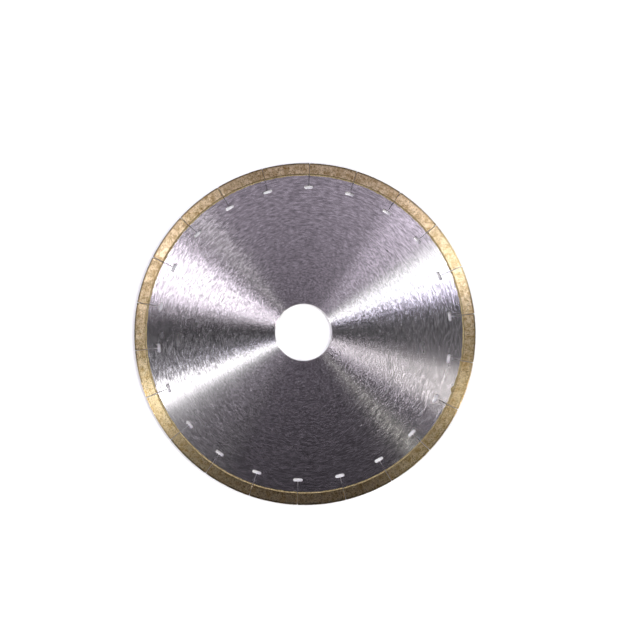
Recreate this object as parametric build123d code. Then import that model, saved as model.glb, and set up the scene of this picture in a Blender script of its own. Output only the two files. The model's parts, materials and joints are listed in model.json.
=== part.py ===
"""Diamond saw blade for tile and stone: a ground steel core that carries a ring of brazed diamond segments.

The origin is the centre of the arbor bore, half way through the core. +Z is the blade's axis, and the blade
lies flat on the faces of its segments. Both faces are alike. Sizes are in millimetres and angles in degrees.

Pieces: one steel core, and round it, between each pair of cooling slots, one diamond segment and the braze
seam that holds it to the core's rim.
"""

import os

from build123d import *

# Overall
blade_diameter = 300.0
bore_diameter = 50.0
slot_count = 22
first_slot_angle = 90.0

# Diamond segments
segment_height = 10.0
segment_thickness = 2.4
segment_setback = 0.05
shoulder_width = 0.8
shoulder_depth = 0.35

# Steel core
core_thickness = 1.8
bore_chamfer = 0.3

# Cooling slots, each ending in a relief hole across its foot
slot_width = 0.6
slot_depth = 20.0
relief_length = 8.0
relief_width = 2.8

# Braze
braze_thickness = 0.2
braze_step = 0.15

# Worked out from the sizes above
blade_radius = blade_diameter / 2
segment_foot_radius = blade_radius - segment_height
core_radius = segment_foot_radius - braze_thickness
slot_foot_radius = blade_radius - slot_depth
slot_pitch = 360 / slot_count
segment_gap = slot_width + 2 * segment_setback
half_core = core_thickness / 2
half_segment = segment_thickness / 2
half_braze = half_segment - braze_step
cutter_height = 2 * (segment_thickness + core_thickness)


def mirrored_section(upper_edges):
    """A section that is the same above and below the middle of the blade, from its upper outline."""
    lower_edges = upper_edges.mirror(Plane.XZ)
    return Plane.XZ * make_face(upper_edges.edges() + lower_edges.edges())


def upper_outline(*points):
    """The upper half of a section, from its inner radius out, closed down to the middle at both ends."""
    return Polyline((points[0][0], 0), *points, (points[-1][0], 0))


def slot_cutter():
    """One cooling slot with its relief hole, along +X."""
    # The cutter runs a slot's width past the edge so that the slot is open there.
    slot_end = blade_radius + slot_width
    relief_centre = slot_foot_radius - relief_width / 2
    slot_length = slot_end - relief_centre
    slot = Pos((relief_centre + slot_end) / 2, 0) * Rectangle(slot_length, slot_width)
    relief_hole = Pos(relief_centre, 0) * SlotOverall(relief_length, relief_width, rotation=90)
    return extrude(slot + relief_hole, cutter_height / 2, both=True)


def steel_core():
    """The core: a disc with a chamfered bore, a square rim for the braze, and the ring of slots."""
    outline = upper_outline(
        (bore_diameter / 2, half_core - bore_chamfer),
        (bore_diameter / 2 + bore_chamfer, half_core),
        (core_radius, half_core),
    )
    disc = revolve(mirrored_section(outline), Axis.Z)
    cutter = slot_cutter()
    return disc - [Rot(Z=first_slot_angle + k * slot_pitch) * cutter for k in range(slot_count)]


def between_slots(section):
    """The stretch of a ring that lies between two neighbouring slots, centred on +X."""
    stretch = Rot(Z=-slot_pitch / 2) * revolve(section, Axis.Z, revolution_arc=slot_pitch)
    gap = Pos(blade_radius / 2, 0) * Box(blade_radius + 2 * segment_gap, segment_gap, cutter_height)
    return stretch - [Rot(Z=side * slot_pitch / 2) * gap for side in (-1, 1)]


def diamond_segment():
    """One segment, a little thicker than the core, with its cutting edge dressed to sloping shoulders."""
    outline = upper_outline(
        (segment_foot_radius, half_segment),
        (blade_radius - shoulder_width, half_segment),
        (blade_radius, half_segment - shoulder_depth),
    )
    return between_slots(mirrored_section(outline))


def braze_seam():
    """The braze under one segment: a thin layer on the rim that rises to a fillet under the segment's overhang."""
    outline = upper_outline((core_radius, half_core), (segment_foot_radius, half_braze))
    return between_slots(mirrored_section(outline))


def write_part(piece, name):
    """Writes one piece to its own file, named after the piece."""
    export_step(piece, os.path.join("parts", name + ".step"))


os.makedirs("parts", exist_ok=True)
write_part(steel_core(), "steel_core")
segment = diamond_segment()
seam = braze_seam()
for k in range(slot_count):
    place = Rot(Z=first_slot_angle + (k + 0.5) * slot_pitch)
    write_part(place * segment, f"diamond_segment_{k + 1:02d}")
    write_part(place * seam, f"braze_seam_{k + 1:02d}")
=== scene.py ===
"""Looks of a 300 mm diamond saw blade for tile and stone, built round the part's fixed frame.

Lengths are in metres and angles in radians, unless a name says degrees. The origin is the centre of the
arbor bore, half way through the core, and +Z is the blade's axis. The blade lies flat on the faces of its
segments, and its two faces are alike.
"""

import json
import logging
import math
import random
from dataclasses import dataclass, field
from enum import Enum

import bmesh
import bpy
from mathutils import Euler, Matrix, Vector, noise


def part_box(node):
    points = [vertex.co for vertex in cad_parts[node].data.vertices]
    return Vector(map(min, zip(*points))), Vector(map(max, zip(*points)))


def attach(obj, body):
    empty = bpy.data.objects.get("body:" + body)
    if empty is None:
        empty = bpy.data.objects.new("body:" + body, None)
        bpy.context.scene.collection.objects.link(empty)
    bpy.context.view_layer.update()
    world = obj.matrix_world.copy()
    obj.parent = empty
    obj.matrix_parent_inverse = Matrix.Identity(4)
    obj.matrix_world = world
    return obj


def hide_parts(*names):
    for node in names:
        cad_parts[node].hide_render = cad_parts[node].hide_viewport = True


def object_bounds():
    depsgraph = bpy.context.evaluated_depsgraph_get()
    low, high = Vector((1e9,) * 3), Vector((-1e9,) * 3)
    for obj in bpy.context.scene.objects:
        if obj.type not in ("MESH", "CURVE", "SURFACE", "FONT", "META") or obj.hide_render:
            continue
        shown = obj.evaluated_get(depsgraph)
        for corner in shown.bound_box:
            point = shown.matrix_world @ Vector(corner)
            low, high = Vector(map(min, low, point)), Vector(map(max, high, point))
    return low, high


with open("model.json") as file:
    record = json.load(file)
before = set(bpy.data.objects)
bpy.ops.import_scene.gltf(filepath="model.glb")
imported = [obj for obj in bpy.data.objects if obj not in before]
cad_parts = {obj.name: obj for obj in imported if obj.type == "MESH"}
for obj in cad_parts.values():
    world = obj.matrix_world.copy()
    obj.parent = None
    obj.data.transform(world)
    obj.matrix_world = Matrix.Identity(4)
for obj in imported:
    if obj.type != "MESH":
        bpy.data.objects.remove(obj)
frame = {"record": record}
CAD_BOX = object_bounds()

log = logging.getLogger("saw_blade")

MM = 0.001
FULL_TURN = 2 * math.pi
AXIS = Vector((0.0, 0.0, 1.0))
CENTRE = Vector((0.0, 0.0, 0.0))
# The floor lies this far below the blade, so that the segments' lower faces don't flicker through it.
FLOOR_CLEARANCE = 0.02 * MM
# Faces that meet at a wider angle than this keep a crisp edge between them.
SHARP_ANGLE_DEGREES = 24
# An edge within this of the bore or the rim belongs to it.
EDGE_MARGIN = 0.01 * MM
# Points within this of each other are one point.
WELD_DISTANCE = 0.001 * MM
# Fractal noise seldom leaves this span.
NOISE_SPAN = (0.25, 0.75)
# How strongly each finer layer of the streaks shows beside the one before.
STREAK_ROUGHNESS = 0.6


class Side(Enum):
    """The two faces of the blade, as the sign of their height."""

    UPPER = 1
    LOWER = -1


class Slot(Enum):
    """The record's material slots."""

    STEEL = "ground_steel"
    BRONZE = "sintered_bronze_diamond"
    BRAZE = "silver_braze"


def linear_colour(hex_code: str) -> tuple[float, float, float, float]:
    """Turns an sRGB hex colour into Blender's linear colour.

    Args:
        hex_code: The colour as "#rrggbb".

    Returns:
        Red, green and blue in linear light, and an alpha of 1.
    """
    knee, slope, offset, power = 0.04045, 12.92, 0.055, 2.4
    shares = [int(hex_code[place:place + 2], 16) / 255 for place in (1, 3, 5)]
    light = [
        share / slope if share <= knee else ((share + offset) / (1 + offset)) ** power for share in shares
    ]
    return (*light, 1.0)


def add_node(
    tree: bpy.types.NodeTree, kind: str, settings: dict | None = None, links: dict | None = None
) -> bpy.types.Node:
    """Adds one shader node with its settings and its links.

    Args:
        tree: The node tree that takes the node.
        kind: The node's type, without the word ShaderNode.
        settings: Values by the name or number of an input, or by the name of a property.
        links: Output sockets by the name or number of the input that each one feeds.

    Returns:
        The new node.
    """
    node = tree.nodes.new("ShaderNode" + kind)
    for name, value in (settings or {}).items():
        if isinstance(name, int) or name in node.inputs:
            node.inputs[name].default_value = value
        else:
            setattr(node, name, value)
    for name, socket in (links or {}).items():
        tree.links.new(socket, node.inputs[name])
    return node


@dataclass(frozen=True)
class RoundPlaces:
    """Where a point lies round the blade, as shader sockets that every finish reads."""

    position: bpy.types.NodeSocket
    outward: bpy.types.NodeSocket
    along: bpy.types.NodeSocket
    radius: bpy.types.NodeSocket


def round_places(tree: bpy.types.NodeTree) -> RoundPlaces:
    """Works out a point's place round the blade from its Object coordinates.

    Args:
        tree: The material's node tree.

    Returns:
        The position, the unit vectors outward and along the ring, and the distance from the axis.
    """
    position = add_node(tree, "TexCoord").outputs["Object"]
    flat = add_node(
        tree, "VectorMath", {"operation": "MULTIPLY", 1: (1.0, 1.0, 0.0)}, {0: position}
    ).outputs[0]
    outward = add_node(tree, "VectorMath", {"operation": "NORMALIZE"}, {0: flat}).outputs[0]
    along = add_node(tree, "VectorMath", {"operation": "CROSS_PRODUCT", 0: AXIS}, {1: outward}).outputs[0]
    radius = add_node(tree, "VectorMath", {"operation": "LENGTH"}, {0: flat}).outputs["Value"]
    return RoundPlaces(position, outward, along, radius)


def ring_streaks(
    tree: bpy.types.NodeTree,
    places: RoundPlaces,
    length: float,
    spacing: float,
    mid_radius: float,
    detail: float,
) -> bpy.types.NodeSocket:
    """Adds noise drawn out along the ring, as grinding leaves it, with no seam anywhere round the blade.

    Args:
        tree: The material's node tree.
        places: Where the point lies round the blade.
        length: How long a streak is at the middle radius.
        spacing: How far apart the streaks lie.
        mid_radius: The radius at which the length holds.
        detail: How many finer layers the noise has.

    Returns:
        The noise, from 0 to 1.
    """
    round_scale = mid_radius / length
    turned = add_node(
        tree, "VectorMath", {"operation": "SCALE", "Scale": round_scale}, {0: places.outward}
    ).outputs[0]
    across = add_node(tree, "Math", {"operation": "DIVIDE", 1: spacing}, {0: places.radius}).outputs[0]
    lifted = add_node(tree, "CombineXYZ", {}, {"Z": across}).outputs[0]
    vector = add_node(tree, "VectorMath", {"operation": "ADD"}, {0: turned, 1: lifted}).outputs[0]
    return add_node(
        tree, "TexNoise", {"Scale": 1.0, "Detail": detail, "Roughness": STREAK_ROUGHNESS}, {"Vector": vector}
    ).outputs["Fac"]


def turned_tangent(
    tree: bpy.types.NodeTree, places: RoundPlaces, wander: bpy.types.NodeSocket, amount: float
) -> bpy.types.NodeSocket:
    """Adds the direction across the grinding lines, which wanders a little from streak to streak.

    Args:
        tree: The material's node tree.
        places: Where the point lies round the blade.
        wander: Noise from 0 to 1.
        amount: How far the direction turns between the noise's ends, as a slope.

    Returns:
        The tangent, which points outward.
    """
    low, high = NOISE_SPAN
    slope = add_node(
        tree,
        "MapRange",
        {"From Min": low, "From Max": high, "To Min": -amount / 2, "To Max": amount / 2},
        {"Value": wander},
    ).outputs[0]
    sideways = add_node(
        tree, "VectorMath", {"operation": "SCALE"}, {0: places.along, "Scale": slope}
    ).outputs[0]
    turned = add_node(
        tree, "VectorMath", {"operation": "ADD"}, {0: places.outward, 1: sideways}
    ).outputs[0]
    return add_node(tree, "VectorMath", {"operation": "NORMALIZE"}, {0: turned}).outputs[0]


def new_material(name: str) -> tuple[bpy.types.Material, bpy.types.NodeTree, bpy.types.Node]:
    """Makes a node material and hands back its tree and its surface shader.

    Args:
        name: What the real material is called.

    Returns:
        The material, its node tree and its Principled shader.
    """
    material = bpy.data.materials.new(name)
    material.use_nodes = True
    tree = material.node_tree
    tree.nodes.clear()
    surface = add_node(tree, "BsdfPrincipled")
    add_node(tree, "OutputMaterial", {}, {"Surface": surface.outputs[0]})
    return material, tree, surface


@dataclass(frozen=True)
class TwoTone:
    """A finish whose colour runs between a dark and a light tone."""

    light_tone: str
    dark_tone: str

    def tones(self) -> dict[str, tuple[float, float, float, float]]:
        """Gives both tones as the settings of a node that mixes them."""
        return {"Color1": linear_colour(self.dark_tone), "Color2": linear_colour(self.light_tone)}


@dataclass(frozen=True)
class Mark:
    """One nick or scratch on the upper face: where it is, how long and wide, and which way it runs."""

    x: float
    y: float
    length: float
    width: float
    degrees: float


@dataclass(frozen=True)
class GroundSteel(TwoTone):
    """Saw steel, hardened, rolled flat and ground on a turntable.

    The wheel leaves fine lines round the bore, so light gathers in bright fans that run outward from it,
    and short streaks show along the rings.
    """

    light_tone: str = "#ece8eb"
    dark_tone: str = "#9a9699"
    nick_tone: str = "#0c0a09"
    roughness: float = 0.264
    anisotropy: float = 1.0
    streak_length: float = 3.8 * MM
    streak_spacing: float = 1.15 * MM
    streak_radius: float = 90.0 * MM
    streak_contrast: tuple[float, float] = (0.33, 0.67)
    streak_detail: float = 4.0
    broad_length: float = 15.2 * MM
    broad_spacing: float = 5.75 * MM
    broad_detail: float = 2.0
    broad_contrast: tuple[float, float] = (0.3, 0.7)
    roughness_spread: float = 0.01
    wander: float = 0.11
    groove_depth: float = 0.01 * MM
    groove_strength: float = 0.3
    nick_edge: float = 0.35
    nick_depth: float = 1.0 * MM
    marks: tuple[Mark, ...] = ()

    def material(self) -> bpy.types.Material:
        """Makes the material."""
        material, tree, surface = new_material("ground saw steel")
        places = round_places(tree)
        # Real grinding lines are some 0.05 mm apart. They are drawn coarser, so that they show in the render.
        fine = ring_streaks(
            tree, places, self.streak_length, self.streak_spacing, self.streak_radius, self.streak_detail
        )
        broad = ring_streaks(
            tree, places, self.broad_length, self.broad_spacing, self.streak_radius, self.broad_detail
        )
        low, high = self.streak_contrast
        spread = add_node(tree, "MapRange", {"From Min": low, "From Max": high}, {"Value": fine}).outputs[0]
        tone = add_node(tree, "MixRGB", self.tones(), {"Fac": spread}).outputs[0]
        nicked = add_node(
            tree,
            "MixRGB",
            {"Color2": linear_colour(self.nick_tone)},
            {"Color1": tone, "Fac": self._nicks(tree, places)},
        ).outputs[0]
        low, high = self.broad_contrast
        smooth, rougher = self.roughness - self.roughness_spread, self.roughness + self.roughness_spread
        rough = add_node(
            tree,
            "MapRange",
            {"From Min": low, "From Max": high, "To Min": smooth, "To Max": rougher},
            {"Value": broad},
        ).outputs[0]
        grooves = add_node(
            tree, "Bump", {"Strength": self.groove_strength, "Distance": self.groove_depth}, {"Height": fine}
        ).outputs[0]
        surface.inputs["Metallic"].default_value = 1.0
        surface.inputs["Anisotropic"].default_value = self.anisotropy
        tree.links.new(nicked, surface.inputs["Base Color"])
        tree.links.new(rough, surface.inputs["Roughness"])
        tree.links.new(grooves, surface.inputs["Normal"])
        tree.links.new(turned_tangent(tree, places, fine, self.wander), surface.inputs["Tangent"])
        return material

    def _nicks(self, tree: bpy.types.NodeTree, places: RoundPlaces) -> bpy.types.NodeSocket:
        """Adds the nicks and scratches.

        Args:
            tree: The material's node tree.
            places: Where the point lies round the blade.

        Returns:
            A mask that is 1 inside a mark.
        """
        mask = None
        for mark in self.marks:
            local = add_node(
                tree,
                "Mapping",
                {
                    "vector_type": "TEXTURE",
                    "Location": (mark.x, mark.y, CAD_BOX[1].z),
                    "Rotation": (0.0, 0.0, math.radians(mark.degrees)),
                    "Scale": (mark.length / 2, mark.width / 2, self.nick_depth),
                },
                {"Vector": places.position},
            ).outputs[0]
            blot = add_node(
                tree, "TexGradient", {"gradient_type": "SPHERICAL"}, {"Vector": local}
            ).outputs["Fac"]
            edge = add_node(tree, "MapRange", {"From Max": self.nick_edge}, {"Value": blot}).outputs[0]
            if mask is None:
                mask = edge
            else:
                mask = add_node(tree, "Math", {"operation": "MAXIMUM"}, {0: mask, 1: edge}).outputs[0]
        return mask


@dataclass(frozen=True)
class SinteredBronze(TwoTone):
    """Bronze powder pressed hot with diamond grit, ground flat and opened with an abrasive stone.

    It shines like worn brass, softly along the rings, and is speckled with dark pores and pulled-out grit.
    """

    light_tone: str = "#fbe9c0"
    dark_tone: str = "#a98b55"
    pore_tone: str = "#3f3019"
    # The worn rim's dull tone, which also paints the shade band at the segment's foot.
    rim_wear_and_foot_shade_tone: str = "#57462a"
    rim_width: float = 1.8 * MM
    torn_share: float = 0.2
    height: float = 10.0 * MM
    # How wide the band of painted shade along the segment's foot is.
    painted_foot_shade_band: float = 0.3 * MM
    roughness: float = 0.33
    roughness_spread: float = 0.06
    anisotropy: float = 0.83
    wander: float = 0.35
    pore_size: float = 0.9 * MM
    pore_detail: float = 5.0
    pore_roughness: float = 0.7
    pore_depth: float = 0.12 * MM
    relief: float = 0.6
    patch_size: float = 3.5 * MM
    patch_detail: float = 3.0
    patch_roughness: float = 0.6
    patch_share: float = 0.5
    metal_contrast: tuple[float, float] = (0.39, 0.61)
    pore_contrast: tuple[float, float] = (0.43, 0.35)
    shine_contrast: tuple[float, float] = (0.35, 0.65)
    dullest_segment: float = 0.86
    slot_count: int = 22
    first_slot: float = FULL_TURN / 4

    def material(self) -> bpy.types.Material:
        """Makes the material."""
        material, tree, surface = new_material("sintered bronze with diamond")
        places = round_places(tree)
        # The grit is 0.3 to 0.4 mm. Its pores are drawn about twice as coarse, so that they show.
        grain = add_node(
            tree,
            "TexNoise",
            {"Scale": 1 / self.pore_size, "Detail": self.pore_detail, "Roughness": self.pore_roughness},
            {"Vector": places.position},
        ).outputs["Fac"]
        patches = add_node(
            tree,
            "TexNoise",
            {"Scale": 1 / self.patch_size, "Detail": self.patch_detail, "Roughness": self.patch_roughness},
            {"Vector": places.position},
        ).outputs["Fac"]
        broad = add_node(
            tree, "Math", {"operation": "MULTIPLY", 1: self.patch_share}, {0: patches}
        ).outputs[0]
        blend = add_node(
            tree, "Math", {"operation": "MULTIPLY_ADD", 1: 1 - self.patch_share}, {0: grain, 2: broad}
        ).outputs[0]
        low, high = self.metal_contrast
        metal = add_node(tree, "MapRange", {"From Min": low, "From Max": high}, {"Value": blend}).outputs[0]
        tone = add_node(tree, "MixRGB", self.tones(), {"Fac": metal}).outputs[0]
        varied = add_node(
            tree,
            "MixRGB",
            {"blend_type": "MULTIPLY", "Fac": 1.0},
            {"Color1": tone, "Color2": self._each_segment(tree, places)},
        ).outputs[0]
        # Dulls the worn rim, and paints shade along the segment's foot.
        rim_dulled_and_foot_shaded = add_node(
            tree,
            "MixRGB",
            {"Color2": linear_colour(self.rim_wear_and_foot_shade_tone)},
            {"Color1": varied, "Fac": self._dull_rim_and_paint_foot_shade(tree, places, patches)},
        ).outputs[0]
        shallow, deep = self.pore_contrast
        pores = add_node(
            tree, "MapRange", {"From Min": shallow, "From Max": deep}, {"Value": grain}
        ).outputs[0]
        pored = add_node(
            tree, "MixRGB", {"Color2": linear_colour(self.pore_tone)}, {"Color1": rim_dulled_and_foot_shaded, "Fac": pores}
        ).outputs[0]
        low, high = self.shine_contrast
        smooth, rougher = self.roughness - self.roughness_spread, self.roughness + self.roughness_spread
        rough = add_node(
            tree,
            "MapRange",
            {"From Min": low, "From Max": high, "To Min": rougher, "To Max": smooth},
            {"Value": blend},
        ).outputs[0]
        relief = add_node(
            tree, "Bump", {"Strength": self.relief, "Distance": self.pore_depth}, {"Height": grain}
        ).outputs[0]
        surface.inputs["Metallic"].default_value = 1.0
        surface.inputs["Anisotropic"].default_value = self.anisotropy
        tree.links.new(pored, surface.inputs["Base Color"])
        tree.links.new(rough, surface.inputs["Roughness"])
        tree.links.new(relief, surface.inputs["Normal"])
        tree.links.new(turned_tangent(tree, places, grain, self.wander), surface.inputs["Tangent"])
        return material

    def _dull_rim_and_paint_foot_shade(
        self, tree: bpy.types.NodeTree, places: RoundPlaces, patches: bpy.types.NodeSocket
    ) -> bpy.types.NodeSocket:
        """Adds the dull band torn open by dressing at the cutting edge, and a band of painted shade along the
        foot, where the segment's step onto the core casts a shadow.

        Args:
            tree: The material's node tree.
            places: Where the point lies round the blade.
            patches: Broad noise from 0 to 1, which makes the band waver.

        Returns:
            A mask that is 1 at both edges.
        """
        edge = CAD_BOX[1].x
        inner, outer = edge - self.rim_width, edge - self.torn_share * self.rim_width
        waver = add_node(
            tree,
            "Math",
            {"operation": "MULTIPLY_ADD", 1: self.rim_width, 2: -self.rim_width / 2},
            {0: patches},
        ).outputs[0]
        moved = add_node(tree, "Math", {"operation": "ADD"}, {0: places.radius, 1: waver}).outputs[0]
        rim = add_node(tree, "MapRange", {"From Min": inner, "From Max": outer}, {"Value": moved}).outputs[0]
        # Painted shade: a dark band along the segment's foot, in the rim's tone, stands in for the shadow of
        # the step where the segment rises from the core.
        foot = edge - self.height
        painted_foot_shade = add_node(
            tree,
            "MapRange",
            {"From Min": foot + 2 * self.painted_foot_shade_band, "From Max": foot + self.painted_foot_shade_band / 2},
            {"Value": places.radius},
        ).outputs[0]
        return add_node(tree, "Math", {"operation": "MAXIMUM"}, {0: rim, 1: painted_foot_shade}).outputs[0]

    def _each_segment(self, tree: bpy.types.NodeTree, places: RoundPlaces) -> bpy.types.NodeSocket:
        """Adds a tone that differs a little from segment to segment, as pressings from one batch do.

        Args:
            tree: The material's node tree.
            places: Where the point lies round the blade.

        Returns:
            A grey that multiplies the metal's colour.
        """
        pitch = FULL_TURN / self.slot_count
        parts = add_node(tree, "SeparateXYZ", {}, {0: places.outward})
        turn = add_node(
            tree, "Math", {"operation": "ARCTAN2"}, {0: parts.outputs["Y"], 1: parts.outputs["X"]}
        ).outputs[0]
        from_slot = add_node(
            tree, "Math", {"operation": "SUBTRACT", 1: self.first_slot - FULL_TURN}, {0: turn}
        ).outputs[0]
        count = add_node(tree, "Math", {"operation": "DIVIDE", 1: pitch}, {0: from_slot}).outputs[0]
        around = add_node(
            tree, "Math", {"operation": "MODULO", 1: self.slot_count}, {0: count}
        ).outputs[0]
        whole = add_node(tree, "Math", {"operation": "FLOOR"}, {0: around}).outputs[0]
        drawn = add_node(tree, "TexWhiteNoise", {"noise_dimensions": "1D"}, {"W": whole}).outputs["Value"]
        return add_node(tree, "MapRange", {"To Min": self.dullest_segment}, {"Value": drawn}).outputs[0]


@dataclass(frozen=True)
class SilverBraze(TwoTone):
    """Silver brazing alloy that flowed along the joint and froze, with a trace of burnt flux.

    It is brighter and yellower than the steel where light catches its smooth fillet, and brown where it is
    dull.
    """

    light_tone: str = "#d3c392"
    dark_tone: str = "#86704a"
    roughness: float = 0.42
    lump_size: float = 1.2 * MM
    lump_detail: float = 4.0
    lump_roughness: float = 0.65
    lump_depth: float = 0.1 * MM
    relief: float = 0.4
    tone_contrast: tuple[float, float] = (0.35, 0.6)

    def material(self) -> bpy.types.Material:
        """Makes the material."""
        material, tree, surface = new_material("silver braze")
        places = round_places(tree)
        lumps = add_node(
            tree,
            "TexNoise",
            {"Scale": 1 / self.lump_size, "Detail": self.lump_detail, "Roughness": self.lump_roughness},
            {"Vector": places.position},
        ).outputs["Fac"]
        low, high = self.tone_contrast
        spread = add_node(tree, "MapRange", {"From Min": low, "From Max": high}, {"Value": lumps}).outputs[0]
        tone = add_node(tree, "MixRGB", self.tones(), {"Fac": spread}).outputs[0]
        relief = add_node(
            tree, "Bump", {"Strength": self.relief, "Distance": self.lump_depth}, {"Height": lumps}
        ).outputs[0]
        surface.inputs["Metallic"].default_value = 1.0
        surface.inputs["Roughness"].default_value = self.roughness
        tree.links.new(tone, surface.inputs["Base Color"])
        tree.links.new(relief, surface.inputs["Normal"])
        return material


@dataclass(frozen=True)
class DiamondGrit(TwoTone):
    """Synthetic diamond crystals of 40/50 mesh, yellow-green and glassy, with sharp glints."""

    light_tone: str = "#8d8a5c"
    dark_tone: str = "#5b5a38"
    cloud_size: float = 0.5 * MM
    roughness: float = 0.12
    ior: float = 2.42

    def material(self) -> bpy.types.Material:
        """Makes the material."""
        material, tree, surface = new_material("synthetic diamond grit")
        places = round_places(tree)
        cloud = add_node(
            tree, "TexNoise", {"Scale": 1 / self.cloud_size}, {"Vector": places.position}
        ).outputs["Fac"]
        tone = add_node(tree, "MixRGB", self.tones(), {"Fac": cloud}).outputs[0]
        surface.inputs["Roughness"].default_value = self.roughness
        surface.inputs["IOR"].default_value = self.ior
        tree.links.new(tone, surface.inputs["Base Color"])
        return material


@dataclass(frozen=True)
class StudioFloor(TwoTone):
    """Matt white card under the blade, even and a little fibrous."""

    light_tone: str = "#fbfafc"
    dark_tone: str = "#f7f6f8"
    fibre: float = 4.0 * MM
    fibre_detail: float = 2.0
    roughness: float = 0.9
    specular: float = 0.1

    def material(self) -> bpy.types.Material:
        """Makes the material."""
        material, tree, surface = new_material("matt white card")
        place = add_node(tree, "TexCoord").outputs["Object"]
        cloud = add_node(
            tree, "TexNoise", {"Scale": 1 / self.fibre, "Detail": self.fibre_detail}, {"Vector": place}
        ).outputs["Fac"]
        tone = add_node(tree, "MixRGB", self.tones(), {"Fac": cloud}).outputs[0]
        surface.inputs["Roughness"].default_value = self.roughness
        surface.inputs["Specular IOR Level"].default_value = self.specular
        tree.links.new(tone, surface.inputs["Base Color"])
        return material


class OutlinePen:
    """Draws one flat closed outline in a bmesh, out of straight edges and arcs."""

    def __init__(self, mesh: bmesh.types.BMesh, start: Vector) -> None:
        """Starts the outline.

        Args:
            mesh: The bmesh that takes the outline.
            start: The outline's first point.
        """
        self.mesh = mesh
        self.start = mesh.verts.new(start)
        self.tip = self.start

    def line(self, end: Vector) -> None:
        """Adds a straight edge.

        Args:
            end: Where the edge ends.
        """
        reached = self.mesh.verts.new(end)
        self.mesh.edges.new((self.tip, reached))
        self.tip = reached

    def arc(self, centre: Vector, angle: float, steps: int) -> None:
        """Adds an arc.

        Args:
            centre: The arc's centre.
            angle: How far it turns, anticlockwise where positive.
            steps: How many edges it has.
        """
        swept = bmesh.ops.spin(
            self.mesh, geom=[self.tip], cent=centre, axis=AXIS, angle=angle, steps=steps, use_merge=False
        )
        self.tip = next(item for item in swept["geom_last"] if isinstance(item, bmesh.types.BMVert))

    def close(self) -> None:
        """Joins the outline's end to its start."""
        self.mesh.edges.new((self.tip, self.start))


def turn_round(angle: float) -> Matrix:
    """Gives the turn by an angle round the blade's axis."""
    return Matrix.Rotation(angle, 3, "Z")


def stand_at(place: Vector, across: Vector, upright: Vector, back: Vector) -> Matrix:
    """Gives the place and turn of a camera or light, from where it is and which way its three axes run."""
    return Matrix.Translation(place) @ Matrix((across, upright, back)).transposed().to_4x4()


def draw_section(upper: list[tuple[float, float]]) -> bmesh.types.BMesh:
    """Draws a section across the ring that is the same on both faces of the blade.

    Args:
        upper: The upper half's corners, each as a radius and a height.

    Returns:
        A bmesh with the closed outline on the XZ plane.
    """
    corners = upper + [(radius, -height) for radius, height in reversed(upper)]
    mesh = bmesh.new()
    verts = [mesh.verts.new((radius, 0.0, height)) for radius, height in corners]
    for i in range(len(verts)):
        mesh.edges.new((verts[i - 1], verts[i]))
    return mesh


def sweep_section(
    mesh: bmesh.types.BMesh, start: float, angle: float, steps: int
) -> list[bmesh.types.BMEdge]:
    """Sweeps a section round the blade's axis and closes both ends.

    Args:
        mesh: The section's bmesh, which takes the solid.
        start: Where round the blade the sweep starts.
        angle: How far round it goes.
        steps: How many steps it has.

    Returns:
        The edges of both ends.
    """
    bmesh.ops.rotate(mesh, verts=mesh.verts[:], cent=CENTRE, matrix=turn_round(start))
    first = mesh.edges[:]
    swept = bmesh.ops.spin(
        mesh, geom=mesh.verts[:] + first, cent=CENTRE, axis=AXIS, angle=angle, steps=steps, use_merge=False
    )
    last = [item for item in swept["geom_last"] if isinstance(item, bmesh.types.BMEdge)]
    for loop in (first, last):
        bmesh.ops.edgeloop_fill(mesh, edges=loop)
    return first + last


def break_edges(mesh: bmesh.types.BMesh, edges: list[bmesh.types.BMEdge], offset: float) -> None:
    """Gives edges a small flat chamfer.

    Args:
        mesh: The bmesh that has the edges.
        edges: The edges to break.
        offset: How wide the chamfer reaches from the edge.
    """
    bmesh.ops.bevel(
        mesh,
        geom=edges,
        affect="EDGES",
        offset=offset,
        offset_type="OFFSET",
        segments=1,
        profile=0.5,
        material=-1,
        clamp_overlap=True,
    )


def finish_piece(
    mesh: bmesh.types.BMesh,
    name: str,
    material: bpy.types.Material,
    stands_for: tuple[str, ...] = (),
) -> None:
    """Turns a bmesh into a finished piece that rides on the blade, and reports it.

    Args:
        mesh: The piece's shape, which is freed.
        name: The piece's name.
        material: Its finish.
        stands_for: The nodes that the piece is shown for.
    """
    data = bpy.data.meshes.new(name)
    mesh.to_mesh(data)
    mesh.free()
    data.shade_smooth()
    data.set_sharp_from_angle(angle=math.radians(SHARP_ANGLE_DEGREES))
    data.materials.append(material)
    piece = bpy.data.objects.new(name, data)
    bpy.context.scene.collection.objects.link(piece)
    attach(piece, "root")
    if stands_for:
        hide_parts(*stands_for)
    data.calc_loop_triangles()
    log.info("%s: %d triangles", name, len(data.loop_triangles))


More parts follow.
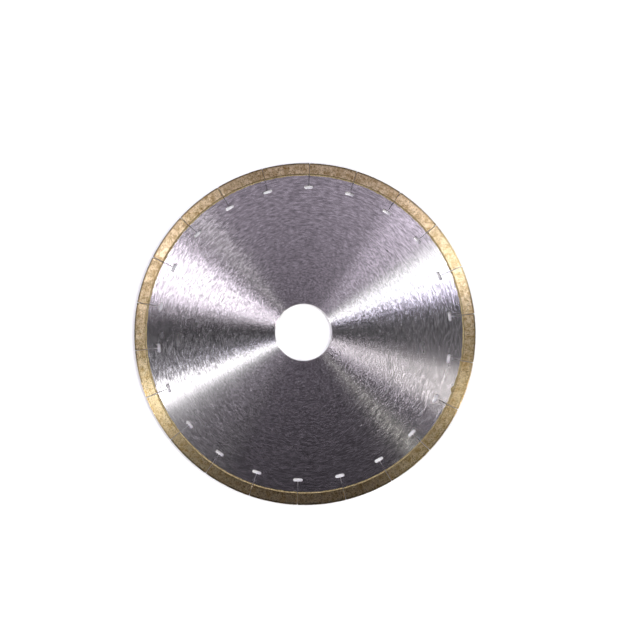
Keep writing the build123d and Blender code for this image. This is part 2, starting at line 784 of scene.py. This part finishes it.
@dataclass(frozen=True)
class BladeSizes:
    """Sizes that several pieces of the blade share."""

    blade_radius: float
    segment_half: float
    core_half: float
    bore_radius: float
    foot_radius: float
    core_radius: float
    slot_count: int = 22
    first_slot: float = FULL_TURN / 4
    slot_width: float = 0.6 * MM
    segment_gap: float = 0.7 * MM

    @classmethod
    def from_frame(cls) -> "BladeSizes":
        """Reads the sizes off the part's solids and its record."""
        core_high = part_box("steel_core")[1]
        segment_height = 10.0 * MM
        braze_thickness = 0.2 * MM
        bore = next(mount for mount in frame["record"]["mounts"] if mount["name"] == "arbor_bore")
        blade_radius = CAD_BOX[1].x
        return cls(
            blade_radius=blade_radius,
            segment_half=CAD_BOX[1].z,
            core_half=core_high.z,
            bore_radius=bore["dims"]["r_mm"] * MM,
            foot_radius=blade_radius - segment_height,
            core_radius=blade_radius - segment_height - braze_thickness,
        )

    @property
    def pitch(self) -> float:
        """The angle from one slot to the next."""
        return FULL_TURN / self.slot_count

    def slot_angle(self, number: float) -> float:
        """Where a slot lies round the blade; a number and a half gives the middle of a segment."""
        return self.first_slot + number * self.pitch

    def reach_at(self, radius: float) -> float:
        """The angle from a segment's middle to its end, which runs along the slot's side."""
        return self.pitch / 2 - math.asin(self.segment_gap / 2 / radius)


@dataclass(frozen=True)
class SteelCore:
    """The steel disc with its chamfered bore, cooling slots and relief holes, their edges broken a little."""

    sizes: BladeSizes
    finish: GroundSteel
    slot_depth: float = 20.0 * MM
    relief_length: float = 8.0 * MM
    relief_width: float = 2.8 * MM
    bore_chamfer: float = 0.3 * MM
    edge_break: float = 0.12 * MM
    bore_steps: int = 14
    rim_steps: int = 24
    relief_steps: int = 14

    def build(self) -> None:
        """Builds and dresses the core."""
        mesh = bmesh.new()
        self._draw_stretch(mesh)
        bmesh.ops.edgeloop_fill(mesh, edges=mesh.edges[:])
        geometry = mesh.verts[:] + mesh.edges[:] + mesh.faces[:]
        turns = self.sizes.slot_count - 1
        bmesh.ops.spin(
            mesh,
            geom=geometry,
            cent=CENTRE,
            axis=AXIS,
            angle=turns * self.sizes.pitch,
            steps=turns,
            use_duplicate=True,
        )
        bmesh.ops.remove_doubles(mesh, verts=mesh.verts[:], dist=WELD_DISTANCE)
        raised = bmesh.ops.extrude_face_region(mesh, geom=mesh.faces[:])
        top = [item for item in raised["geom"] if isinstance(item, bmesh.types.BMVert)]
        bmesh.ops.translate(mesh, verts=top, vec=AXIS * 2 * self.sizes.core_half)
        bmesh.ops.translate(mesh, verts=mesh.verts[:], vec=-AXIS * self.sizes.core_half)
        bmesh.ops.recalc_face_normals(mesh, faces=mesh.faces[:])
        bore, slots = self._sharp_edges(mesh)
        break_edges(mesh, bore, self.bore_chamfer)
        break_edges(mesh, slots, self.edge_break)
        finish_piece(mesh, "ground_core", self.finish.material(), ("steel_core",))

    def _draw_stretch(self, mesh: bmesh.types.BMesh) -> None:
        """Draws the outline of the disc from the middle of one slot to the middle of the next.

        Args:
            mesh: The bmesh that takes the outline.
        """
        sizes = self.sizes
        half_slot = sizes.slot_width / 2
        hole_outer = sizes.blade_radius - self.slot_depth
        hole_inner = hole_outer - self.relief_width
        hole_middle = hole_outer - self.relief_width / 2
        end_offset = (self.relief_length - self.relief_width) / 2
        slot_end = math.sqrt(sizes.core_radius**2 - half_slot**2)
        slot_share = math.asin(half_slot / sizes.core_radius)
        first, last = turn_round(sizes.slot_angle(0)), turn_round(sizes.slot_angle(1))
        pen = OutlinePen(mesh, first @ Vector((sizes.bore_radius, 0, 0)))
        pen.line(first @ Vector((hole_inner, 0, 0)))
        pen.line(first @ Vector((hole_inner, end_offset, 0)))
        pen.arc(first @ Vector((hole_middle, end_offset, 0)), -math.pi, self.relief_steps)
        pen.line(first @ Vector((hole_outer, half_slot, 0)))
        pen.line(first @ Vector((slot_end, half_slot, 0)))
        pen.arc(CENTRE, sizes.pitch - 2 * slot_share, self.rim_steps)
        pen.line(last @ Vector((hole_outer, -half_slot, 0)))
        pen.line(last @ Vector((hole_outer, -end_offset, 0)))
        pen.arc(last @ Vector((hole_middle, -end_offset, 0)), -math.pi, self.relief_steps)
        pen.line(last @ Vector((hole_inner, 0, 0)))
        pen.line(last @ Vector((sizes.bore_radius, 0, 0)))
        pen.arc(CENTRE, -sizes.pitch * (1 - 1 / self.bore_steps), self.bore_steps - 1)
        pen.close()

    def _sharp_edges(self, mesh: bmesh.types.BMesh) -> tuple[list[bmesh.types.BMEdge], ...]:
        """Finds the edges between the faces and the walls, but for the rim's, which the braze covers.

        Args:
            mesh: The core's bmesh.

        Returns:
            The bore's edges, and those of the slots and relief holes.
        """
        near_bore = self.sizes.bore_radius + EDGE_MARGIN
        near_rim = self.sizes.core_radius - EDGE_MARGIN
        bore, slots = [], []
        for edge in mesh.edges:
            level_faces = sum(round(abs(face.normal.z)) for face in edge.link_faces)
            reach = min(vertex.co.xy.length for vertex in edge.verts)
            if level_faces != 1 or reach > near_rim:
                continue
            if reach < near_bore:
                bore.append(edge)
            else:
                slots.append(edge)
        return bore, slots


@dataclass(frozen=True)
class SegmentRing:
    """The ring of sintered segments: flat faces, sloping dressed shoulders, worn edges and open pores."""

    sizes: BladeSizes
    finish: SinteredBronze
    shoulder_width: float = 0.8 * MM
    shoulder_depth: float = 0.35 * MM
    foot_break: float = 0.15 * MM
    end_break: float = 0.18 * MM
    grid: float = 0.5 * MM
    pore_reach: float = 0.07 * MM
    pore_gain: float = 2.0
    closed_share: float = 0.12
    fine_per_mm: float = 1.4
    fine_weight: float = 0.8
    coarse_per_mm: float = 0.35
    coarse_weight: float = 0.5
    wear: float = 0.12 * MM
    mean_wear: float = 0.5
    wear_per_mm: float = 0.6
    seed_step: float = 37.0

    def build(self) -> None:
        """Builds and dresses the segments, each from the same pressing but worn in its own way."""
        material = self.finish.material()
        pressing = self._pressing()
        for number in range(self.sizes.slot_count):
            mesh = pressing.copy()
            self._wear_down(mesh, AXIS * self.seed_step * number)
            turn = turn_round(self.sizes.slot_angle(number + 0.5))
            bmesh.ops.rotate(mesh, verts=mesh.verts[:], cent=CENTRE, matrix=turn)
            name = f"{number + 1:02d}"
            finish_piece(
                mesh, f"bronze_segment_{name}", material, (f"diamond_segment_{name}",)
            )
        pressing.free()

    def _pressing(self) -> bmesh.types.BMesh:
        """Makes one segment as it leaves the press and the grinder, centred on +X."""
        sizes = self.sizes
        top, foot, rim = sizes.segment_half, sizes.foot_radius, sizes.blade_radius
        upper = [
            (foot, top - self.foot_break),
            (foot + self.foot_break, top),
            (rim - self.shoulder_width, top),
            (rim, top - self.shoulder_depth),
        ]
        mesh = draw_section(upper)
        for edge in mesh.edges[:]:
            cuts = round(edge.calc_length() / self.grid) - 1
            if cuts > 0:
                bmesh.ops.subdivide_edges(mesh, edges=[edge], cuts=cuts)
        reach = sizes.reach_at(foot)
        ends = sweep_section(mesh, -reach, 2 * reach, round(2 * reach * rim / self.grid))
        self._square_ends(mesh, reach)
        bmesh.ops.recalc_face_normals(mesh, faces=mesh.faces[:])
        break_edges(mesh, ends, self.end_break)
        return mesh

    def _square_ends(self, mesh: bmesh.types.BMesh, reach: float) -> None:
        """Makes the ends run along the slots' sides instead of straight at the axis.

        Args:
            mesh: The segment's bmesh.
            reach: The angle from the segment's middle to its ends, at its foot.
        """
        for vertex in mesh.verts:
            radius = vertex.co.xy.length
            angle = math.atan2(vertex.co.y, vertex.co.x)
            turned = angle * self.sizes.reach_at(radius) / reach
            vertex.co.x, vertex.co.y = radius * math.cos(turned), radius * math.sin(turned)

    def _wear_down(self, mesh: bmesh.types.BMesh, seed: Vector) -> None:
        """Opens pores in the faces and wears the cutting edge unevenly, always inward.

        Args:
            mesh: The segment's bmesh.
            seed: Where in the noise this segment is read, so that each is different.
        """
        sizes = self.sizes
        shoulder = sizes.blade_radius - self.shoulder_width
        for vertex in mesh.verts:
            place = vertex.co / MM
            radius = vertex.co.xy.length
            if radius < sizes.foot_radius + 2 * self.foot_break:
                continue
            fine = noise.noise(place * self.fine_per_mm + seed) * self.fine_weight
            coarse = noise.noise(place * self.coarse_per_mm + seed) * self.coarse_weight
            pore = max(0.0, fine + coarse - self.closed_share) * self.pore_reach * self.pore_gain
            edge = max(0.0, (radius - shoulder) / self.shoulder_width)
            worn = edge * self.wear * (self.mean_wear + noise.noise(place * self.wear_per_mm - seed))
            flat = vertex.co.xy.normalized() * (pore * edge + max(worn, 0.0))
            vertex.co.x -= flat.x
            vertex.co.y -= flat.y
            vertex.co.z -= math.copysign(min(pore, abs(vertex.co.z)), vertex.co.z)


@dataclass(frozen=True)
class Spill:
    """A place where the braze ran out further over the core."""

    degrees: float
    reach: float
    length: float


@dataclass(frozen=True)
class BrazeRing:
    """The braze under each segment: a thin layer on the rim, with a hollow fillet over both faces."""

    sizes: BladeSizes
    finish: SilverBraze
    climb: float = 0.24 * MM
    reach: float = 0.95 * MM
    hollowness: float = 2.2
    toe: float = 0.015 * MM
    root: float = 0.02 * MM
    waver: float = 0.4 * MM
    long_waves_per_mm: float = 0.22
    short_waves_per_mm: float = 0.9
    short_wave_share: float = 0.5
    face_seed: float = 7.0
    fillet_steps: int = 5
    grid: float = 0.45 * MM
    spills: tuple[Spill, ...] = ()

    def build(self) -> None:
        """Builds and dresses the braze seams."""
        material = self.finish.material()
        for number in range(self.sizes.slot_count):
            mesh = self._seam(self.sizes.slot_angle(number + 0.5))
            name = f"{number + 1:02d}"
            finish_piece(mesh, f"braze_fillet_{name}", material, (f"braze_seam_{name}",))

    def _seam(self, middle: float) -> bmesh.types.BMesh:
        """Makes one seam.

        Args:
            middle: Where the middle of the seam lies round the blade.

        Returns:
            The seam's shape.
        """
        sizes = self.sizes
        base = sizes.core_half
        toe_radius = sizes.core_radius - self.reach
        upper = [(sizes.core_radius, base - self.root), (toe_radius, base - self.root)]
        for step in range(self.fillet_steps + 1):
            share = step / self.fillet_steps
            height = base + self.toe + (self.climb - self.toe) * share**self.hollowness
            upper.append((toe_radius + (sizes.foot_radius - toe_radius) * share, height))
        mesh = draw_section(upper)
        reach = sizes.reach_at(sizes.foot_radius)
        steps = round(2 * reach * sizes.foot_radius / self.grid)
        sweep_section(mesh, middle - reach, 2 * reach, steps)
        bmesh.ops.recalc_face_normals(mesh, faces=mesh.faces[:])
        self._let_flow(mesh)
        return mesh

    def _let_flow(self, mesh: bmesh.types.BMesh) -> None:
        """Lets the fillet's toe waver over the core, and run out where there is a spill.

        Args:
            mesh: The seam's bmesh.
        """
        sizes = self.sizes
        for vertex in mesh.verts:
            radius = vertex.co.xy.length
            share = (sizes.core_radius - radius) / self.reach
            if share <= 0:
                continue
            angle = math.atan2(vertex.co.y, vertex.co.x)
            spot = Vector((math.cos(angle), math.sin(angle), 0.0)) * sizes.core_radius / MM
            seed = AXIS * math.copysign(self.face_seed, vertex.co.z)
            long_wave = noise.noise(spot * self.long_waves_per_mm + seed)
            short_wave = noise.noise(spot * self.short_waves_per_mm + seed)
            flow = self.waver * (long_wave + self.short_wave_share * short_wave)
            for spill in self.spills:
                away = (angle - math.radians(spill.degrees) + math.pi) % FULL_TURN - math.pi
                along = away * sizes.core_radius / (spill.length / 2)
                if vertex.co.z > 0 and abs(along) < 1:
                    flow += spill.reach * (1 - along**2) ** 2
            moved = radius - share * flow
            vertex.co.x *= moved / radius
            vertex.co.y *= moved / radius


@dataclass(frozen=True)
class GritCrystals:
    """Diamond crystals that stand out of the segments' faces and rim, no higher than the ground faces."""

    sizes: BladeSizes
    finish: DiamondGrit
    per_face: int = 60
    per_rim: int = 24
    smallest: float = 0.14 * MM
    largest: float = 0.24 * MM
    end_margin: float = 2.0 * MM
    foot_margin: float = 1.0 * MM
    rim_margin: float = 1.2 * MM
    rim_share: float = 0.6
    seed: int = 22

    def build(self) -> None:
        """Builds and dresses the crystals, as one piece."""
        draw = random.Random(self.seed)
        gathered = bmesh.new()
        for number in range(self.sizes.slot_count):
            stretch = self._stretch(draw, self.sizes.slot_angle(number + 0.5))
            loose = bpy.data.meshes.new("loose grit")
            stretch.to_mesh(loose)
            stretch.free()
            gathered.from_mesh(loose)
            bpy.data.meshes.remove(loose)
        finish_piece(gathered, "diamond_grit", self.finish.material())

    def _stretch(self, draw: random.Random, middle: float) -> bmesh.types.BMesh:
        """Makes the crystals of one segment.

        Args:
            draw: The source of random numbers.
            middle: Where the middle of the segment lies round the blade.

        Returns:
            The crystals' shapes.
        """
        sizes = self.sizes
        mesh = bmesh.new()
        spread = sizes.pitch / 2 - self.end_margin / sizes.foot_radius
        innermost = sizes.foot_radius + self.foot_margin
        outermost = sizes.blade_radius - self.rim_margin
        for side in Side:
            for _ in range(self.per_face):
                size = draw.uniform(self.smallest, self.largest)
                radius = draw.uniform(innermost, outermost)
                height = side.value * (sizes.segment_half - size)
                self._crystal(mesh, draw, size, radius, middle + draw.uniform(-spread, spread), height)
        for _ in range(self.per_rim):
            size = draw.uniform(self.smallest, self.largest)
            height = draw.uniform(-self.rim_share, self.rim_share) * sizes.segment_half
            angle = middle + draw.uniform(-spread, spread)
            self._crystal(mesh, draw, size, sizes.blade_radius - size, angle, height)
        return mesh

    def _crystal(
        self,
        mesh: bmesh.types.BMesh,
        draw: random.Random,
        size: float,
        radius: float,
        angle: float,
        height: float,
    ) -> None:
        """Adds one blocky crystal.

        Args:
            mesh: The bmesh that takes it.
            draw: The source of random numbers.
            size: Half its width.
            radius: How far out it lies.
            angle: Where round the blade it lies.
            height: How high it lies.
        """
        place = Matrix.Translation((radius * math.cos(angle), radius * math.sin(angle), height))
        lie = Euler([draw.uniform(0, math.pi) for _ in range(3)]).to_matrix().to_4x4()
        bmesh.ops.create_icosphere(mesh, subdivisions=1, radius=size, matrix=place @ lie)


@dataclass(frozen=True)
class Softbox:
    """A soft studio light that looks at the blade's centre."""

    name: str
    azimuth_degrees: float
    zenith_degrees: float
    half_width_degrees: float
    half_height_degrees: float
    radiance: float
    tone: str = "#ffffff"


@dataclass(frozen=True)
class Studio:
    """The pale floor, the lights, the sky and the camera."""

    floor_level: float
    floor_finish: StudioFloor
    softboxes: tuple[Softbox, ...]
    camera_place: Vector = field(default_factory=lambda: Vector((35.6, -15.2, 599.0)) * MM)
    camera_target: Vector = field(default_factory=lambda: Vector((14.5, 10.8, 0.0)) * MM)
    photo_turn_degrees: float = 2.03
    lens: float = 38.4
    clip: tuple[float, float] = (0.01, 50.0)
    floor_reach: float = 1.4
    floor_sides: int = 64
    light_distance: float = 1.5
    sky_tone: str = "#f3f3f6"
    sky_heights: tuple[float, float] = (0.02, 0.30)
    sky_strengths: tuple[float, float] = (0.9, 0.008)

    def build(self) -> None:
        """Sets up the whole studio."""
        self._lay_floor()
        for softbox in self.softboxes:
            self._hang(softbox)
        self._paint_sky()
        self._place_camera()
        bpy.context.scene.view_settings.view_transform = "Standard"

    def _turned(self) -> Matrix:
        """Gives the turn from the photograph's own axes to the blade's."""
        return turn_round(math.radians(self.photo_turn_degrees))

    def _lay_floor(self) -> None:
        """Lays the floor just under the blade."""
        mesh = bmesh.new()
        bmesh.ops.create_circle(
            mesh, cap_ends=True, segments=self.floor_sides, radius=self.floor_reach
        )
        bmesh.ops.translate(mesh, verts=mesh.verts[:], vec=AXIS * self.floor_level)
        data = bpy.data.meshes.new("floor")
        mesh.to_mesh(data)
        mesh.free()
        data.materials.append(self.floor_finish.material())
        floor = bpy.data.objects.new("floor", data)
        bpy.context.scene.collection.objects.link(floor)

    def _hang(self, softbox: Softbox) -> None:
        """Hangs one softbox.

        Args:
            softbox: Which light, how large and how bright.
        """
        light = bpy.data.lights.new(softbox.name, "AREA")
        light.shape = "RECTANGLE"
        light.size = 2 * self.light_distance * math.tan(math.radians(softbox.half_width_degrees))
        light.size_y = 2 * self.light_distance * math.tan(math.radians(softbox.half_height_degrees))
        light.energy = softbox.radiance * math.pi * light.size * light.size_y
        light.color = linear_colour(softbox.tone)[:3]
        azimuth = math.radians(softbox.azimuth_degrees)
        zenith = math.radians(softbox.zenith_degrees)
        away = self._turned() @ Vector(
            (math.sin(zenith) * math.cos(azimuth), math.sin(zenith) * math.sin(azimuth), math.cos(zenith))
        )
        level = AXIS.cross(away).normalized()
        holder = bpy.data.objects.new(softbox.name, light)
        holder.matrix_world = stand_at(away * self.light_distance, level, away.cross(level), away)
        bpy.context.scene.collection.objects.link(holder)

    def _paint_sky(self) -> None:
        """Paints a sky that is bright along the horizon and dim above."""
        world = bpy.data.worlds.new("studio sky")
        bpy.context.scene.world = world
        world.use_nodes = True
        tree = world.node_tree
        tree.nodes.clear()
        way = add_node(tree, "TexCoord").outputs["Generated"]
        parts = add_node(tree, "SeparateXYZ", {}, {0: way})
        low, high = self.sky_heights
        bright, dim = self.sky_strengths
        strength = add_node(
            tree,
            "MapRange",
            {"From Min": high, "From Max": low, "To Min": dim, "To Max": bright},
            {"Value": parts.outputs["Z"]},
        ).outputs[0]
        shade = add_node(
            tree, "Background", {"Color": linear_colour(self.sky_tone)}, {"Strength": strength}
        ).outputs[0]
        add_node(tree, "OutputWorld", {}, {"Surface": shade})

    def _place_camera(self) -> None:
        """Places the camera where the photograph was taken from."""
        camera = bpy.data.cameras.new("camera")
        camera.lens = self.lens
        camera.clip_start, camera.clip_end = self.clip
        holder = bpy.data.objects.new("camera", camera)
        turn = self._turned()
        place = turn @ self.camera_place
        back = (place - turn @ self.camera_target).normalized()
        right = (turn @ Vector((0.0, 1.0, 0.0))).cross(back).normalized()
        holder.matrix_world = stand_at(place, right, back.cross(right), back)
        bpy.context.scene.collection.objects.link(holder)
        bpy.context.scene.camera = holder


# Each mark's place, its length and width, and the angle in degrees that it runs at.
MARKS = (
    Mark(-86.0 * MM, 61.2 * MM, 5.5 * MM, 0.8 * MM, 48.0),
    Mark(-87.2 * MM, 59.8 * MM, 2.2 * MM, 1.2 * MM, 48.0),
    Mark(-91.8 * MM, 97.5 * MM, 2.4 * MM, 1.1 * MM, 118.0),
    Mark(71.2 * MM, 73.8 * MM, 6.0 * MM, 0.9 * MM, -34.0),
    Mark(75.0 * MM, 70.4 * MM, 5.5 * MM, 0.9 * MM, -48.0),
    Mark(95.4 * MM, -72.7 * MM, 2.0 * MM, 1.3 * MM, 40.0),
    Mark(131.6 * MM, -42.6 * MM, 2.0 * MM, 1.4 * MM, 60.0),
    Mark(-105.8 * MM, 41.4 * MM, 1.8 * MM, 1.1 * MM, 70.0),
    Mark(-101.8 * MM, 36.9 * MM, 1.6 * MM, 1.1 * MM, 20.0),
    Mark(-109.1 * MM, 44.6 * MM, 1.4 * MM, 1.0 * MM, 0.0),
)
SPILLS = (Spill(341.0, 1.6 * MM, 7.0 * MM),)
# Each light's name, its azimuth and zenith angles, its half width and half height as angles, its radiance
# and its tone. The ground rings mirror a light along the radius that runs towards it, so the lights stand
# where the photograph has its bright fans and rays, and their strengths are matched to it.
SOFTBOXES = (
    Softbox("right key", 29.5, 58, 6, 12, 18.5, "#f5fff1"),
    Softbox("right key foot", 25, 35, 4, 8, 11.5, "#ebe6ff"),
    Softbox("right fill", 46, 40, 8, 14, 3.0, "#f8efff"),
    Softbox("left key", 156, 25, 4, 5, 11.5, "#faf3ff"),
    Softbox("left key head", 155, 60, 8, 8, 0.8),
    Softbox("lower left strip", 201.0, 60, 2.8, 8, 72.0),
    Softbox("lower left fill", 198, 45, 12, 8, 1.3),
    Softbox("lower right panel", 339, 60, 7, 8, 24.0, "#fffdf5"),
    Softbox("upper left ray", 134.5, 50, 3, 10, 3.2),
    Softbox("lower right ray", 312, 60, 2, 8, 15.5, "#fdffed"),
    Softbox("top panel", 97, 27, 24, 12, 1.0, "#f8edff"),
    Softbox("top right panel", 62, 27, 10, 10, 0.25, "#f8edff"),
    Softbox("low left panel", 225, 45, 8, 10, 0.25, "#eeffdd"),
    Softbox("right side fill", 2, 30, 6, 8, 0.5),
)


def main() -> None:
    """Builds the blade and its studio, piece by piece."""
    logging.basicConfig(level=logging.INFO, format="%(name)s: %(message)s")
    sizes = BladeSizes.from_frame()
    Studio(-sizes.segment_half - FLOOR_CLEARANCE, StudioFloor(), SOFTBOXES).build()
    SteelCore(sizes, GroundSteel(marks=MARKS)).build()
    SegmentRing(sizes, SinteredBronze()).build()
    BrazeRing(sizes, SilverBraze(), spills=SPILLS).build()
    GritCrystals(sizes, DiamondGrit()).build()


if __name__ == "__main__":
    main()
